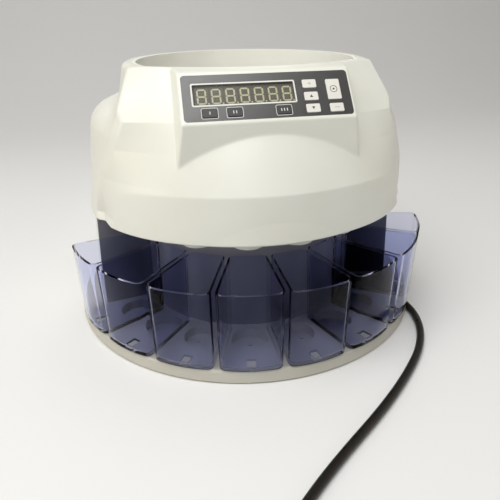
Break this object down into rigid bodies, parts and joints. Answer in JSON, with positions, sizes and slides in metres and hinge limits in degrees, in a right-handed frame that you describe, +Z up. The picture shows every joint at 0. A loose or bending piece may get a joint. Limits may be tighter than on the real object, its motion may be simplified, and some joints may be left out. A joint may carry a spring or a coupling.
{
  "type": "coin counting machine",
  "caption": "Table-top coin counter: a motor-driven disc in an open hopper sorts coins by size through graded holes and tubes into see-through cups.",
  "frame": {"origin": "on the surface the machine stands on, below the middle of its outline seen from above, the mains lead left out", "axes": "+Z up, -Y towards the user (the control panel and the cups face -Y), +X to the user's right"},
  "size_m": [0.3554, 0.5704, 0.2554],
  "materials": {
    "cover_shell": "smooth moulded ABS, light gloss",
    "base_shell": "fine moulded texture, pale warm grey",
    "smoke_clear": "see-through smoke acrylic, polished",
    "dark_core": "dark moulded wall",
    "bowl_plastic": "smooth, scuffed by coins inside",
    "label_film": "printed polyester film, satin",
    "window_film": "taupe-grey filter, light gloss",
    "digit_face": "potted seven-segment module",
    "key_light": "moulded silicone key, satin",
    "key_dark": "moulded silicone key, satin",
    "black_plastic": "fine texture",
    "black_rubber": "matt",
    "cord_jacket": "smooth PVC jacket",
    "steel": "turned and ground",
    "sheet_alloy": "brushed sheet",
    "circuit_green": "solder mask",
    "circuit_pale": "bare laminate",
    "white_nylon": "moulded nylon",
    "motor_can": "zinc-plated can"
  },
  "bodies": {
    "casing": {"base_plate": "base_shell", "rubber_feet": "black_rubber", "base_screws": "steel", "core_shroud": "dark_core", "rear_cover": "cover_shell", "upper_cover": "cover_shell", "hopper_bowl": "bowl_plastic", "deck_plate": "sheet_alloy", "coin_tubes": "cover_shell", "sorting_ring": "sheet_alloy", "coin_rail": "steel", "bearing_lower": "steel", "bearing_upper": "steel", "bearing_seat": "white_nylon", "bearing_housing": "sheet_alloy", "drive_motor": "motor_can", "motor_plate": "sheet_alloy", "frame_posts": "steel", "deck_screws": "steel", "sensor_board": "circuit_green", "main_board": "circuit_green", "power_supply": "circuit_pale", "standoffs": "white_nylon", "panel_overlay": "label_film", "display_window": "window_film", "digit_modules": "digit_face", "display_board": "circuit_green", "switch_body": "black_plastic", "cover_screws": "steel", "cover_brackets": "steel", "mains_cord": "cord_jacket", "strain_relief": "black_rubber", "cord_coil": "cord_jacket", "mains_plug": "black_plastic"},
    "rotor": {"feed_disc": "sheet_alloy", "disc_rubber": "black_rubber", "disc_cap": "dark_core", "coin_sweeper": "white_nylon", "drive_shaft": "steel", "drive_gear": "white_nylon"},
    "pinion": {"motor_pinion": "steel", "motor_shaft": "steel"},
    "cup_1": {"coin_cup_1": "smoke_clear"},
    "cup_2": {"coin_cup_2": "smoke_clear"},
    "cup_3": {"coin_cup_3": "smoke_clear"},
    "cup_4": {"coin_cup_4": "smoke_clear"},
    "cup_5": {"coin_cup_5": "smoke_clear"},
    "cup_6": {"coin_cup_6": "smoke_clear"},
    "cup_7": {"coin_cup_7": "smoke_clear"},
    "cup_8": {"coin_cup_8": "smoke_clear"},
    "key_step_cap": {"key_step": "key_light"},
    "key_up_cap": {"key_up": "key_light"},
    "key_down_cap": {"key_down": "key_light"},
    "key_start_cap": {"key_start": "key_light"},
    "key_clear_cap": {"key_clear": "key_light"},
    "key_left_cap": {"key_left": "key_dark"},
    "key_middle_cap": {"key_middle": "key_dark"},
    "key_right_cap": {"key_right": "key_dark"},
    "rocker": {"power_rocker": "black_plastic"}
  },
  "joints": [
    {"name": "disc_spin", "type": "hinge", "parent": "casing", "child": "rotor", "pos_m": [0, 0.01848, 0.1476], "axis": [0, 0, 1], "continuous": true},
    {"name": "pinion_spin", "type": "hinge", "parent": "casing", "child": "pinion", "pos_m": [0.0377, 0.01848, 0.094], "axis": [0, 0, 1], "continuous": true},
    {"name": "cup_1_slide", "type": "slide", "parent": "casing", "child": "cup_1", "axis": [-0.9017, -0.379, 0.2079], "range_m": [0, 0.085]},
    {"name": "cup_2_slide", "type": "slide", "parent": "casing", "child": "cup_2", "axis": [-0.7269, -0.6545, 0.2079], "range_m": [0, 0.085]},
    {"name": "cup_3_slide", "type": "slide", "parent": "casing", "child": "cup_3", "axis": [-0.4712, -0.8572, 0.2079], "range_m": [0, 0.085]},
    {"name": "cup_4_slide", "type": "slide", "parent": "casing", "child": "cup_4", "axis": [-0.1631, -0.9644, 0.2079], "range_m": [0, 0.085]},
    {"name": "cup_5_slide", "type": "slide", "parent": "casing", "child": "cup_5", "axis": [0.1631, -0.9644, 0.2079], "range_m": [0, 0.085]},
    {"name": "cup_6_slide", "type": "slide", "parent": "casing", "child": "cup_6", "axis": [0.4712, -0.8572, 0.2079], "range_m": [0, 0.085]},
    {"name": "cup_7_slide", "type": "slide", "parent": "casing", "child": "cup_7", "axis": [0.7269, -0.6545, 0.2079], "range_m": [0, 0.085]},
    {"name": "cup_8_slide", "type": "slide", "parent": "casing", "child": "cup_8", "axis": [0.9017, -0.379, 0.2079], "range_m": [0, 0.085]},
    {"name": "key_step_press", "type": "slide", "parent": "casing", "child": "key_step_cap", "axis": [0, 0.812, -0.5836], "range_m": [0, 0.0005], "stiffness_N_per_m": 400},
    {"name": "key_up_press", "type": "slide", "parent": "casing", "child": "key_up_cap", "axis": [0, 0.812, -0.5836], "range_m": [0, 0.0005], "stiffness_N_per_m": 400},
    {"name": "key_down_press", "type": "slide", "parent": "casing", "child": "key_down_cap", "axis": [0, 0.812, -0.5836], "range_m": [0, 0.0005], "stiffness_N_per_m": 400},
    {"name": "key_start_press", "type": "slide", "parent": "casing", "child": "key_start_cap", "axis": [0, 0.812, -0.5836], "range_m": [0, 0.0005], "stiffness_N_per_m": 400},
    {"name": "key_clear_press", "type": "slide", "parent": "casing", "child": "key_clear_cap", "axis": [0, 0.812, -0.5836], "range_m": [0, 0.0005], "stiffness_N_per_m": 400},
    {"name": "key_left_press", "type": "slide", "parent": "casing", "child": "key_left_cap", "axis": [0, 0.812, -0.5836], "range_m": [0, 0.0005], "stiffness_N_per_m": 400},
    {"name": "key_middle_press", "type": "slide", "parent": "casing", "child": "key_middle_cap", "axis": [0, 0.812, -0.5836], "range_m": [0, 0.0005], "stiffness_N_per_m": 400},
    {"name": "key_right_press", "type": "slide", "parent": "casing", "child": "key_right_cap", "axis": [0, 0.812, -0.5836], "range_m": [0, 0.0005], "stiffness_N_per_m": 400},
    {"name": "rocker_tilt", "type": "hinge", "parent": "casing", "child": "rocker", "pos_m": [-0.062, 0.16218, 0.062], "axis": [1, 0, 0], "range_deg": [-16, 0]}
  ],
  "couplings": [
    {"joint": "pinion_spin", "follows": "disc_spin", "ratio": -4}
  ]
}
